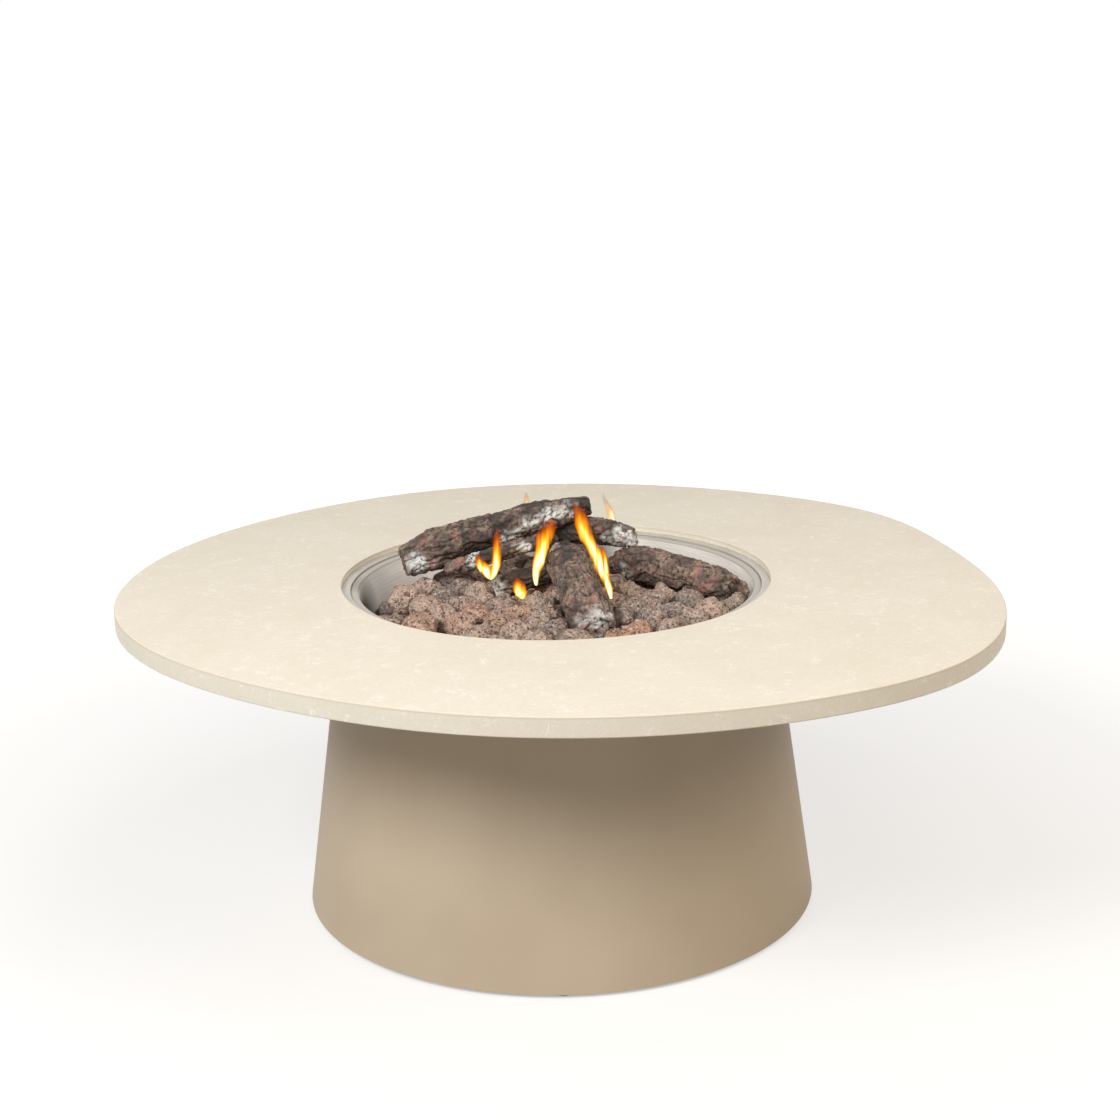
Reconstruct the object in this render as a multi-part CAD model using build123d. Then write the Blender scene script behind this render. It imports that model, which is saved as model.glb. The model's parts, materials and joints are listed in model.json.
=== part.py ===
from build123d import *
import os
from math import atan, cos, pi, radians, sin, sqrt
from random import Random

# A low gas fire pit table: a pebble-shaped stone slab on a flared sheet-metal base, with a drop-in round
# burner, a bed of lava rocks and six ceramic logs. Millimetres, +Z up, origin on the floor under the
# burner's axis. The front is towards -Y, and the gas controls are set into the rear of the base, at +Y.

# Slab, with a rebated round hole: radius of the outline at each heading, in degrees anticlockwise from +X
TABLE_HEIGHT = 450.0
TOP_THICKNESS = 25.0
TOP_EDGE_ROUND = 1.5
HOLE_RADIUS = 290.0
HOLE_EDGE_ROUND = 1.0
REBATE_DEPTH = 9.0
REBATE_WIDTH = 10.0
TOP_OUTLINE = (
    (180, 584), (-150, 577), (-124, 556), (-100, 562), (-80, 576), (-60, 598), (-40, 621), (-22, 606),
    (-5, 580), (12, 566), (33, 578), (55, 562), (82, 554), (110, 558), (135, 559), (158, 571),
)

# Trim ring and fire bowl, in stainless sheet
SHEET = 1.5
SHEET_BEND = 1.0
COLLAR_CLEARANCE = 0.5
LEDGE_STEP = 4.5
LEDGE_WIDTH = 8.0
BOWL_CLEARANCE = 1.0
BOWL_DEPTH = 98.0
BOWL_TAPER = 11.0
BOWL_CORNER = 12.0
DRAIN_RADIUS = 4.0
DRAIN_COUNT = 8
DRAIN_INSET = 36.0
DRAIN_START = 22.5

# Base
SLAB_BEARING = 11.0
BASE_FLARE = 60.0
BASE_WALL = 3.0
WELD_CLEARANCE = 0.2
RING_THICKNESS = 4.0
HEAD_RING_WIDTH = 16.0
FOOT_RING_WIDTH = 38.0
FOOT_HEIGHT = 5.0
FOOT_RADIUS = 15.0
FOOT_COUNT = 6
FOOT_START = 30.0
FOOT_SCREW_RADIUS = 2.0
FOOT_SCREW_HEAD = 4.5
PAD_HEIGHT = 2.0
PAD_RADIUS = 4.0
PAD_COUNT = 12
VENT_WIDTH = 4.0
VENT_LENGTH = 50.0
VENT_PITCH = 2.2
VENT_COUNT = 7
VENT_HEIGHT = 70.0
VENT_HEADINGS = (58, 122)

# Burner
BURNER_RADIUS = 130.0
BURNER_WIDTH = 24.0
BURNER_HEIGHT = 18.0
BURNER_ROUND = 4.0
CROSS_TUBE = 6.5
PORT_RADIUS = 1.5
PORT_DEPTH = 3.0
PORT_COUNT = 40
STAND_HEIGHT = 5.0
STAND_LENGTH = 34.0
STAND_WIDTH = 14.0
STAND_COUNT = 3
STAND_START = 30.0
HUB_RADIUS = 15.0
STUB_RADIUS = 11.0
STUB_LENGTH = 18.0
STUB_CLEARANCE = 0.3
LOCKNUT_FLATS = 34.0
LOCKNUT_THICKNESS = 6.0
VENTURI_WALL = 2.0
VENTURI_LENGTH = 58.0
VENTURI_LAP = 8.0
AIR_HOLE_RADIUS = 5.0
INJECTOR_LENGTH = 12.0
INJECTOR_FLATS = 28.0
INJECTOR_TAIL = 12.0
NOZZLE_LENGTH = 8.0
NOZZLE_RADIUS = 4.0

# Rock tray over the burner
TRAY_GAP = 5.0
TRAY_MARGIN = 4.0
TRAY_SLOT_WIDTH = 3.0
TRAY_SLOT_LENGTH = 26.0
TRAY_SLOT_RINGS = ((60, 12), (130, 30), (205, 42))
TRAY_LEG_RADIUS = 4.0
TRAY_LEG_CIRCLE = 190.0
TRAY_LEG_COUNT = 4
TRAY_LEG_START = 45.0

# Pilot: spark electrode and thermocouple on a bracket beside the burner ring
PILOT_CLEARANCE = 14.0
PILOT_SPACING = 18.0
BRACKET_WIDTH = 34.0
BRACKET_REACH = 12.0
BRACKET_HEIGHT = 10.0
INSULATOR_RADIUS = 3.2
INSULATOR_BELOW = 12.0
ELECTRODE_RADIUS = 1.0
SENSOR_RADIUS = 2.5
COLLAR_HEIGHT = 2.0
COLLAR_STEP = 1.2
PILOT_FIT = 0.1
PILOT_TOP_GAP = 3.0
LEAD_RADIUS = 2.0
LEAD_BEND = 22.0
LEAD_DROP = 30.0

# Heat shield under the bowl
SHIELD_RADIUS = 240.0
SHIELD_SHEET = 1.0
SHIELD_DROP = 20.0
SHIELD_LEAD_RADIUS = 20.0
SPACER_RADIUS = 5.0
SPACER_INSET = 25.0
SPACER_COUNT = 4
SPACER_START = 45.0
SHIELD_SCREW_LENGTH = 15.0
SCREW_RADIUS = 2.0
SCREW_HEAD_RADIUS = 4.0
SCREW_HEAD_HEIGHT = 2.4
SCREW_FIT = 0.1

# Controls, in a box set into the rear of the base
PANEL_DROP = 190.0
RECESS_WIDTH = 150.0
RECESS_HEIGHT = 84.0
RECESS_DEPTH = 31.0
WINDOW_CLEARANCE = 0.3
FASCIA_MARGIN = 1.0
FASCIA_SCREW_INSET = 8.0
CONTROL_INSET = 38.5
RUNNING_CLEARANCE = 0.1
PANEL_FIT = 0.2
NUT_THICKNESS = 4.0

# Gas valve and knob
VALVE_RADIUS = 17.0
VALVE_LENGTH = 40.0
NECK_RADIUS = 8.0
NECK_LENGTH = 8.0
VALVE_NUT_FLATS = 24.0
PORT_STUB_RADIUS = 9.0
OUTLET_LENGTH = 14.0
INLET_LENGTH = 30.0
SENSOR_PORT_LENGTH = 26.0
SENSOR_PORT_RADIUS = 5.0
BUSH_RADIUS = 6.0
BUSH_DEPTH = 10.0
SPINDLE_RADIUS = 4.0
SPINDLE_SHOULDER = 5.5
SPINDLE_TAIL = 6.0
SPINDLE_FLAT = 1.2
KNOB_TRAVEL = 4.0
KNOB_MARGIN = 2.0
KNOB_RADIUS = 22.0
KNOB_HEIGHT = 22.0
KNOB_TAPER = 1.5
KNOB_SKIRT = 3.0
KNOB_ROOF = 9.0
KNOB_BOSS = 7.0
KNOB_ROUND = 2.0
FLUTE_COUNT = 18
FLUTE_RADIUS = 2.2
POINTER_WIDTH = 2.0
POINTER_LENGTH = 14.0
POINTER_DEPTH = 0.8
SEAT_CLEARANCE = 0.3

# Push-button igniter
IGNITER_FLANGE = 14.0
IGNITER_FLANGE_HEIGHT = 3.5
IGNITER_BARREL = 9.0
IGNITER_LENGTH = 52.0
IGNITER_NUT_FLATS = 24.0
TERMINAL_LENGTH = 8.0
BUTTON_RADIUS = 7.0
BUTTON_PROUD = 6.5
BUTTON_TRAVEL = 6.0
BUTTON_ENGAGED = 14.0
BUTTON_ROUND = 1.5

# Gas pipes and inlet
PIPE_RADIUS = 4.0
PIPE_BEND = 28.0
PIPE_RUN = 45.0
PIPE_NUT_FLATS = 18.0
PIPE_NUT_LENGTH = 12.0
PIPE_FIT = 0.05
INLET_HEIGHT = 52.0
INLET_HEADING = 84.0
INLET_THREAD_RADIUS = 7.94
INLET_THREAD_LENGTH = 18.0
INLET_NECK_RADIUS = 10.0
INLET_BORE = 4.0
INLET_FLATS = 30.0
INLET_FLANGE = 8.0
INLET_NUT = 6.0
INLET_TAIL = 12.0

# Lava rocks: two layers of lumps, each trimmed where it presses on a neighbour. The upper layer and the
# logs are laid out on a bed of the radius named here, and spread with the tray.
ROCK_RADIUS = 30.0
ROCK_SIZE_SPREAD = 0.08
ROCK_PITCH = 50.0
ROCK_SCATTER = 4.0
ROCK_SEAT = 21.0
ROCK_RISE = 35.0
ROCK_CROWN = 23.0
ROCK_FACETS = 14
FACET_TURN = 2.4
FACET_TURN_SPREAD = 0.4
FACET_TILT_SPREAD = 0.15
FACET_LEAST_REACH = 0.82
ROCK_FLATNESS = 0.88
ROCK_GAP = 0.3
ROCK_WALL_GAP = 2.5
ROCK_LEAST_SHARE = 0.3
BED_RADIUS = 252.5
UPPER_LAYER_RADIUS = 228.0
UPPER_LAYER_SHIFT = (24.0, -50.0)
ROCK_SEED = 11

# Ceramic logs: both ends (X, Y and height over the crown of the rock bed), both radii and the upward bow
LOG_SIDES = 10
LOG_STATIONS = 7
LOG_ROUGHNESS = 0.08
LOG_END_SHARE = 0.75
LOGS = {
    "log_right": ((84, 66, 0), (236, -64, -8), 27, 25, 8),
    "log_small": ((-84, -24, -9), (14, 0, 9), 17, 14, 2),
    "log_front": ((53, -214, -16), (8, -12, 37), 31, 27, 3),
    "log_cross": ((110, 60, 37), (-44, 118, 16), 19, 20, 16),
    "log_under": ((-150, 8, 10), (2, -18, 60), 12, 11, 2),
    "log_top": ((-208, 20, 18), (48, 88, 77), 30, 18, 7),
}

# Levels and radii that follow from the sizes above
slab_under = TABLE_HEIGHT - TOP_THICKNESS
base_head = slab_under - PAD_HEIGHT
base_height = base_head - FOOT_HEIGHT
rebate_floor = TABLE_HEIGHT - REBATE_DEPTH
cutout_radius = HOLE_RADIUS - REBATE_WIDTH
head_radius = cutout_radius + SLAB_BEARING
foot_radius = head_radius + BASE_FLARE
wall_lean = atan(BASE_FLARE / base_height)
wall_across = BASE_WALL / cos(wall_lean)
collar_outer = cutout_radius - COLLAR_CLEARANCE
collar_inner = collar_outer - SHEET
flange_outer = HOLE_RADIUS - COLLAR_CLEARANCE
flange_top = rebate_floor + SHEET
ledge_top = flange_top - LEDGE_STEP
ledge_inner = collar_inner - LEDGE_WIDTH
bowl_radius = ledge_inner - BOWL_CLEARANCE
bowl_foot_radius = bowl_radius - BOWL_TAPER
floor_top = ledge_top - BOWL_DEPTH
floor_under = floor_top - SHEET
burner_under = floor_top + STAND_HEIGHT
burner_top = burner_under + BURNER_HEIGHT
tray_under = burner_top + TRAY_GAP
tray_top = tray_under + SHEET
tray_radius = bowl_foot_radius - SHEET - TRAY_MARGIN
stub_end = floor_under - STUB_LENGTH
venturi_top = stub_end + VENTURI_LAP
venturi_end = venturi_top - VENTURI_LENGTH
venturi_inner = STUB_RADIUS + RUNNING_CLEARANCE
shield_top = floor_under - SHIELD_DROP
shield_under = shield_top - SHIELD_SHEET
pilot_y = BURNER_RADIUS + BURNER_WIDTH / 2 + PILOT_CLEARANCE
pilot_tab_top = floor_top + BRACKET_HEIGHT
insulator_end = floor_under - INSULATOR_BELOW
panel_back = -2 * SHEET
igniter_x = RECESS_WIDTH / 2 - CONTROL_INSET
knob_x = -igniter_x
bush_front = NECK_LENGTH + KNOB_TRAVEL + RUNNING_CLEARANCE
boss_back = bush_front + SEAT_CLEARANCE
knob_back = KNOB_TRAVEL + KNOB_MARGIN
knob_front = knob_back + KNOB_HEIGHT
valve_back = panel_back - VALVE_LENGTH
outlet_end = valve_back - OUTLET_LENGTH
port_depth = panel_back - VALVE_LENGTH / 2
bowl_lean = atan(BOWL_TAPER / (BOWL_DEPTH + SHEET))
rock_limit = (bowl_foot_radius - SHEET) * cos(bowl_lean) - floor_top * sin(bowl_lean) - ROCK_WALL_GAP
bed_spread = tray_radius / BED_RADIUS
lower_sites = tray_top + ROCK_SEAT
upper_sites = lower_sites + ROCK_RISE
crown = upper_sites + ROCK_CROWN


def wall_radius(height):
    """Outer radius of the flared base at a height."""
    return foot_radius - BASE_FLARE * (height - FOOT_HEIGHT) / base_height


def wall_plane(height, heading):
    """Plane on the outside of the base, facing out, with its Y axis up the wall."""
    turn = radians(heading)
    radius = wall_radius(height)
    outward = (cos(turn) * cos(wall_lean), sin(turn) * cos(wall_lean), sin(wall_lean))
    return Plane((radius * cos(turn), radius * sin(turn), height), (-sin(turn), cos(turn), 0), outward)


panel = wall_plane(TABLE_HEIGHT - PANEL_DROP, 90).offset(-RECESS_DEPTH)
inlet = wall_plane(INLET_HEIGHT, INLET_HEADING)


def rod(radius, low, high):
    """Upright cylinder between two levels."""
    return Pos(0, 0, low) * Cylinder(radius, high - low, align=(Align.CENTER, Align.CENTER, Align.MIN))


def ring(inner, outer, low, high):
    """Upright tube between two levels."""
    return rod(outer, low, high) - rod(inner, low, high)


def hex_nut(flats, low, high, bore):
    """Hexagon between two levels, bored through unless the bore is zero."""
    body = Pos(0, 0, low) * extrude(RegularPolygon(flats / 2, 6, major_radius=False), high - low)
    return body - rod(bore, low, high) if bore else body


def turned(points):
    """Solid turned about Z from an outline of (radius, height) points."""
    return revolve(Plane.XZ * make_face(Polyline(*points, close=True)), Axis.Z)


def pipe(points, radius, bend):
    """Round tube of solid section along straight runs joined by bends."""
    path = FilletPolyline(*points, radius=bend)
    section = Plane(path @ 0, z_dir=path % 0) * Circle(radius)
    return sweep(section, path)


def around(count, radius, start=0.0):
    """Places spread evenly round the axis, each turned to face outwards."""
    return [Rot(0, 0, start + 360 * i / count) * Pos(radius, 0, 0) for i in range(count)]


def screw(length):
    """Pan-head screw with its seat at zero, pointing down."""
    return rod(SCREW_RADIUS, -length, 0) + rod(SCREW_HEAD_RADIUS, 0, SCREW_HEAD_HEIGHT)


def table_top():
    points = [(r * cos(radians(a)), r * sin(radians(a))) for a, r in TOP_OUTLINE]
    outline = make_face(Spline(*points, periodic=True))
    slab = Pos(0, 0, slab_under) * extrude(outline, TOP_THICKNESS)
    rims = slab.edges().group_by(Axis.Z)
    slab = fillet(rims[0] + rims[-1], TOP_EDGE_ROUND)
    slab -= rod(cutout_radius, slab_under, TABLE_HEIGHT)
    slab -= rod(HOLE_RADIUS, rebate_floor, TABLE_HEIGHT)
    rim = slab.edges().filter_by(GeomType.CIRCLE).sort_by(Axis.Z)[-1]
    return fillet(rim, HOLE_EDGE_ROUND)


def slab_pads():
    circle = head_radius - SLAB_BEARING / 2
    return [place * rod(PAD_RADIUS, base_head, slab_under) for place in around(PAD_COUNT, circle)]


def base_shell():
    shell = turned([
        (foot_radius, FOOT_HEIGHT), (head_radius, base_head),
        (head_radius - wall_across, base_head), (foot_radius - wall_across, FOOT_HEIGHT),
    ])
    width = RECESS_WIDTH + 2 * WINDOW_CLEARANCE
    height = RECESS_HEIGHT + 2 * WINDOW_CLEARANCE
    shell -= panel * Box(width, height, 4 * RECESS_DEPTH)
    shell -= inlet * rod(INLET_NECK_RADIUS + PANEL_FIT, -4 * BASE_WALL, 4 * BASE_WALL)
    slot = extrude(SlotOverall(VENT_LENGTH, VENT_WIDTH, rotation=90), 4 * BASE_WALL, both=True)
    for heading in VENT_HEADINGS:
        for i in range(VENT_COUNT):
            shell -= wall_plane(VENT_HEIGHT, heading + VENT_PITCH * (i - (VENT_COUNT - 1) / 2)) * slot
    return shell


def base_ring(width, low, high):
    """Flat ring welded inside the base, with its edge sloped to the wall."""
    outer_low = wall_radius(low) - wall_across - WELD_CLEARANCE
    outer_high = wall_radius(high) - wall_across - WELD_CLEARANCE
    inner = outer_low - width
    return turned([(inner, low), (outer_low, low), (outer_high, high), (inner, high)])


def foot_places():
    """The glide feet stand under the middle of the bottom ring."""
    return around(FOOT_COUNT, foot_radius - wall_across - FOOT_RING_WIDTH / 2, FOOT_START)


def base_foot_ring():
    plate = base_ring(FOOT_RING_WIDTH, FOOT_HEIGHT, FOOT_HEIGHT + RING_THICKNESS)
    for place in foot_places():
        plate -= place * rod(FOOT_SCREW_RADIUS + SCREW_FIT, 0, FOOT_HEIGHT + 2 * RING_THICKNESS)
    return plate


def glide_feet():
    foot = rod(FOOT_RADIUS, 0, FOOT_HEIGHT)
    foot = chamfer(foot.edges().group_by(Axis.Z)[0], FOOT_HEIGHT / 5)
    foot -= rod(FOOT_SCREW_HEAD + SCREW_FIT, 0, FOOT_HEIGHT / 2)
    foot -= rod(FOOT_SCREW_RADIUS + SCREW_FIT, 0, FOOT_HEIGHT)
    return [place * foot for place in foot_places()]


def foot_screws():
    shape = rod(FOOT_SCREW_HEAD, FOOT_HEIGHT / 4, FOOT_HEIGHT / 2)
    shape += rod(FOOT_SCREW_RADIUS, FOOT_HEIGHT / 2, FOOT_HEIGHT + 2 * RING_THICKNESS)
    return [place * shape for place in foot_places()]


def trim_ring():
    section = make_face(Polyline(
        (flange_outer, rebate_floor), (flange_outer, flange_top), (collar_inner, flange_top),
        (collar_inner, ledge_top), (ledge_inner, ledge_top), (ledge_inner, ledge_top - SHEET),
        (collar_outer, ledge_top - SHEET), (collar_outer, rebate_floor), close=True,
    ))
    bends = section.vertices().filter_by(lambda v: abs(v.X - collar_inner) < SHEET / 4)
    section = fillet(bends, SHEET_BEND)
    return revolve(Plane.XZ * section, Axis.Z)


def fire_bowl():
    lip = collar_inner - BOWL_CLEARANCE
    outside = FilletPolyline(
        (lip, ledge_top), (bowl_radius, ledge_top), (bowl_foot_radius, floor_under), (0, floor_under),
        radius=[SHEET_BEND, BOWL_CORNER],
    )
    inside = FilletPolyline(
        (0, floor_top), (bowl_foot_radius - SHEET, floor_top), (bowl_radius - SHEET, ledge_top + SHEET),
        (lip, ledge_top + SHEET), radius=[BOWL_CORNER - SHEET, SHEET_BEND + SHEET],
    )
    ends = [Line((0, floor_under), (0, floor_top)), Line((lip, ledge_top + SHEET), (lip, ledge_top))]
    section = make_face(outside.edges() + inside.edges() + Curve(ends).edges())
    bowl = revolve(Plane.XZ * section, Axis.Z)
    through = (floor_under - SHEET, floor_top + SHEET)
    bowl -= rod(STUB_RADIUS + STUB_CLEARANCE, *through)
    for side in (-1, 1):
        hole = rod(INSULATOR_RADIUS + COLLAR_STEP, *through)
        bowl -= Pos(side * PILOT_SPACING / 2, pilot_y, 0) * hole
    for place in around(DRAIN_COUNT, bowl_foot_radius - DRAIN_INSET, DRAIN_START):
        bowl -= place * rod(DRAIN_RADIUS, *through)
    return bowl


def burner_ring():
    middle = (burner_under + burner_top) / 2
    section = Pos(BURNER_RADIUS, middle) * RectangleRounded(BURNER_WIDTH, BURNER_HEIGHT, BURNER_ROUND)
    burner = revolve(Plane.XZ * section, Axis.Z)
    burner += Pos(0, 0, middle) * Rot(0, 90, 0) * Cylinder(CROSS_TUBE, 2 * BURNER_RADIUS)
    burner += rod(HUB_RADIUS, floor_top, burner_top)
    burner += rod(STUB_RADIUS, stub_end, floor_top)
    port = rod(PORT_RADIUS, burner_top - PORT_DEPTH, burner_top)
    for i, place in enumerate(around(PORT_COUNT, BURNER_RADIUS)):
        row = BURNER_WIDTH / 5 if i % 2 else -BURNER_WIDTH / 5
        burner -= place * Pos(row, 0, 0) * port
    return burner


def burner_stands():
    block = Pos(0, 0, floor_top) * Box(
        STAND_LENGTH, STAND_WIDTH, STAND_HEIGHT, align=(Align.CENTER, Align.CENTER, Align.MIN)
    )
    return [place * block for place in around(STAND_COUNT, BURNER_RADIUS, STAND_START)]


def burner_locknut():
    return hex_nut(LOCKNUT_FLATS, floor_under - LOCKNUT_THICKNESS, floor_under, STUB_RADIUS + PIPE_FIT)


def venturi_tube():
    tube = ring(venturi_inner, venturi_inner + VENTURI_WALL, venturi_end, venturi_top)
    level = venturi_end + INJECTOR_LENGTH + NOZZLE_LENGTH
    for turn in (0, 90):
        across = Cylinder(AIR_HOLE_RADIUS, 4 * STUB_RADIUS)
        tube -= Pos(0, 0, level) * Rot(0, 90, turn) * across
    return tube


def gas_injector():
    body = rod(STUB_RADIUS, venturi_end, venturi_end + INJECTOR_LENGTH)
    body += hex_nut(INJECTOR_FLATS, venturi_end - INJECTOR_LENGTH, venturi_end, 0)
    tail = venturi_end - INJECTOR_LENGTH
    body += rod(PORT_STUB_RADIUS, tail - INJECTOR_TAIL, tail)
    tip = Cone(NOZZLE_RADIUS, NOZZLE_RADIUS / 2, NOZZLE_LENGTH, align=(Align.CENTER, Align.CENTER, Align.MIN))
    return body + Pos(0, 0, venturi_end + INJECTOR_LENGTH) * tip


def tray_leg_places():
    return around(TRAY_LEG_COUNT, TRAY_LEG_CIRCLE, TRAY_LEG_START)


def rock_tray():
    plate = Circle(tray_radius)
    for radius, count in TRAY_SLOT_RINGS:
        plate -= [place * SlotOverall(TRAY_SLOT_LENGTH, TRAY_SLOT_WIDTH) for place in around(count, radius)]
    return Pos(0, 0, tray_under) * extrude(plate, SHEET)


def tray_legs():
    return [place * rod(TRAY_LEG_RADIUS, floor_top, tray_under) for place in tray_leg_places()]


def pilot_bracket():
    width = BRACKET_WIDTH
    foot = Box(width, BRACKET_REACH, SHEET, align=(Align.CENTER, Align.MIN, Align.MIN))
    riser = Box(width, SHEET, BRACKET_HEIGHT, align=(Align.CENTER, Align.MIN, Align.MIN))
    tab = Pos(0, 0, BRACKET_HEIGHT - SHEET) * Box(
        width, 2 * BRACKET_REACH, SHEET, align=(Align.CENTER, Align.MAX, Align.MIN)
    )
    bracket = Pos(0, pilot_y + BRACKET_REACH, floor_top) * (foot + riser + tab)
    for side, radius in ((-1, INSULATOR_RADIUS), (1, SENSOR_RADIUS)):
        hole = rod(radius + PILOT_FIT, floor_top, tray_under)
        bracket -= Pos(side * PILOT_SPACING / 2, pilot_y, 0) * hole
    return bracket


def electrode_insulator():
    sleeve = rod(INSULATOR_RADIUS, insulator_end, tray_under - 3 * PILOT_TOP_GAP)
    sleeve += rod(INSULATOR_RADIUS + COLLAR_STEP, pilot_tab_top, pilot_tab_top + COLLAR_HEIGHT)
    sleeve -= rod(ELECTRODE_RADIUS + PIPE_FIT, insulator_end, tray_under)
    return Pos(-PILOT_SPACING / 2, pilot_y, 0) * sleeve


def electrode_rod():
    top = tray_under - PILOT_TOP_GAP
    reach = PILOT_CLEARANCE - ELECTRODE_RADIUS - PILOT_TOP_GAP
    bend = 2 * ELECTRODE_RADIUS
    wire = pipe([(0, 0, insulator_end), (0, 0, top - bend / 2), (0, -reach, top - bend / 2)],
                ELECTRODE_RADIUS, bend)
    return Pos(-PILOT_SPACING / 2, pilot_y, 0) * wire


def thermocouple():
    sensor = rod(SENSOR_RADIUS, insulator_end, tray_under - PILOT_TOP_GAP)
    sensor += rod(SENSOR_RADIUS + COLLAR_STEP, pilot_tab_top, pilot_tab_top + COLLAR_HEIGHT)
    return Pos(PILOT_SPACING / 2, pilot_y, 0) * sensor


def ignition_lead():
    end = panel.from_local_coords((igniter_x, 0, panel_back - IGNITER_LENGTH - TERMINAL_LENGTH))
    below = Vector(-PILOT_SPACING / 2, pilot_y, insulator_end)
    return pipe([below, below - Vector(0, 0, LEAD_DROP), end - panel.z_dir * LEAD_DROP, end],
                LEAD_RADIUS, LEAD_BEND / 2)


def thermocouple_lead():
    start = panel.from_local_coords((knob_x, SENSOR_PORT_LENGTH, port_depth))
    below = Vector(PILOT_SPACING / 2, pilot_y, insulator_end)
    return pipe([start, start + panel.y_dir * LEAD_BEND, below - Vector(0, 0, LEAD_DROP), below],
                LEAD_RADIUS, LEAD_BEND / 2)


def spacer_places():
    return around(SPACER_COUNT, SHIELD_RADIUS - SPACER_INSET, SPACER_START)


def heat_shield():
    plate = rod(SHIELD_RADIUS, shield_under, shield_top)
    plate -= rod(venturi_inner + 2 * VENTURI_WALL, shield_under, shield_top)
    plate -= Pos(0, pilot_y, 0) * rod(SHIELD_LEAD_RADIUS, shield_under, shield_top)
    for place in spacer_places():
        plate -= place * rod(SCREW_RADIUS + SCREW_FIT, shield_under, shield_top)
    return plate


def shield_spacers():
    post = ring(SCREW_RADIUS + SCREW_FIT, SPACER_RADIUS, shield_top, floor_under)
    return [place * post for place in spacer_places()]


def shield_screws():
    shape = Pos(0, 0, shield_under) * Rot(180, 0, 0) * screw(SHIELD_SCREW_LENGTH)
    return [place * shape for place in spacer_places()]


def fascia_screw_places():
    across = RECESS_WIDTH / 2 - SHEET - FASCIA_MARGIN - FASCIA_SCREW_INSET
    up = RECESS_HEIGHT / 2 - SHEET - FASCIA_MARGIN - FASCIA_SCREW_INSET
    return [Pos(x, y, 0) for x in (-across, across) for y in (-up, up)]


def panel_holes(plate):
    """Cut the holes for the valve's neck, the igniter and the corner screws."""
    plate -= Pos(knob_x, 0, 0) * rod(NECK_RADIUS + PANEL_FIT, panel_back, 0)
    plate -= Pos(igniter_x, 0, 0) * rod(IGNITER_BARREL + PANEL_FIT, panel_back, 0)
    for place in fascia_screw_places():
        plate -= place * rod(SCREW_RADIUS + SCREW_FIT, panel_back, 0)
    return plate


def control_box():
    reach = 2 * RECESS_DEPTH
    low = (Align.CENTER, Align.CENTER, Align.MIN)
    box = Pos(0, 0, panel_back) * Box(RECESS_WIDTH, RECESS_HEIGHT, reach, align=low)
    box -= Pos(0, 0, -SHEET) * Box(RECESS_WIDTH - 2 * SHEET, RECESS_HEIGHT - 2 * SHEET, reach, align=low)
    cone = Pos(0, 0, FOOT_HEIGHT) * Cone(
        foot_radius - WINDOW_CLEARANCE, head_radius - WINDOW_CLEARANCE, base_height, align=low
    )
    return panel * panel_holes(box) & cone


def control_fascia():
    width = RECESS_WIDTH - 2 * (SHEET + FASCIA_MARGIN)
    height = RECESS_HEIGHT - 2 * (SHEET + FASCIA_MARGIN)
    plate = extrude(RectangleRounded(width, height, FASCIA_SCREW_INSET / 2), -SHEET)
    return panel * panel_holes(plate)


def fascia_screws():
    return [panel * place * screw(-panel_back + SHEET) for place in fascia_screw_places()]


def gas_valve():
    body = rod(VALVE_RADIUS, valve_back, panel_back) + rod(NECK_RADIUS, panel_back, NECK_LENGTH)
    body += rod(PORT_STUB_RADIUS, outlet_end, valve_back)
    body += Pos(0, 0, port_depth) * Rot(90, 0, 0) * rod(PORT_STUB_RADIUS, 0, INLET_LENGTH)
    body += Pos(0, 0, port_depth) * Rot(-90, 0, 0) * rod(SENSOR_PORT_RADIUS, 0, SENSOR_PORT_LENGTH)
    bore_end = -BUSH_DEPTH - 2 * SPINDLE_TAIL - KNOB_TRAVEL
    body -= rod(BUSH_RADIUS + RUNNING_CLEARANCE, bore_end, NECK_LENGTH)
    return panel * Pos(knob_x, 0, 0) * body


def valve_nut():
    return panel * Pos(knob_x, 0, 0) * hex_nut(VALVE_NUT_FLATS, 0, NUT_THICKNESS, NECK_RADIUS + PIPE_FIT)


def spindle_bush():
    return panel * Pos(knob_x, 0, 0) * ring(
        SPINDLE_RADIUS + RUNNING_CLEARANCE, BUSH_RADIUS, -BUSH_DEPTH, bush_front
    )


def spindle_flat(radius, low, high):
    """D-shaped end that turns with the knob."""
    cut = Pos(0, radius - SPINDLE_FLAT, low) * Box(
        2 * radius, 2 * radius, high - low, align=(Align.CENTER, Align.MIN, Align.MIN)
    )
    return rod(radius, low, high) - cut


def valve_spindle():
    shoulder_top = -BUSH_DEPTH - RUNNING_CLEARANCE
    stem = rod(SPINDLE_RADIUS, shoulder_top - SPINDLE_TAIL, boss_back)
    stem += rod(SPINDLE_SHOULDER, shoulder_top - SPINDLE_TAIL / 2, shoulder_top)
    stem += spindle_flat(SPINDLE_RADIUS, boss_back, knob_front - KNOB_ROOF / 2)
    return panel * Pos(knob_x, 0, 0) * stem


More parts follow.
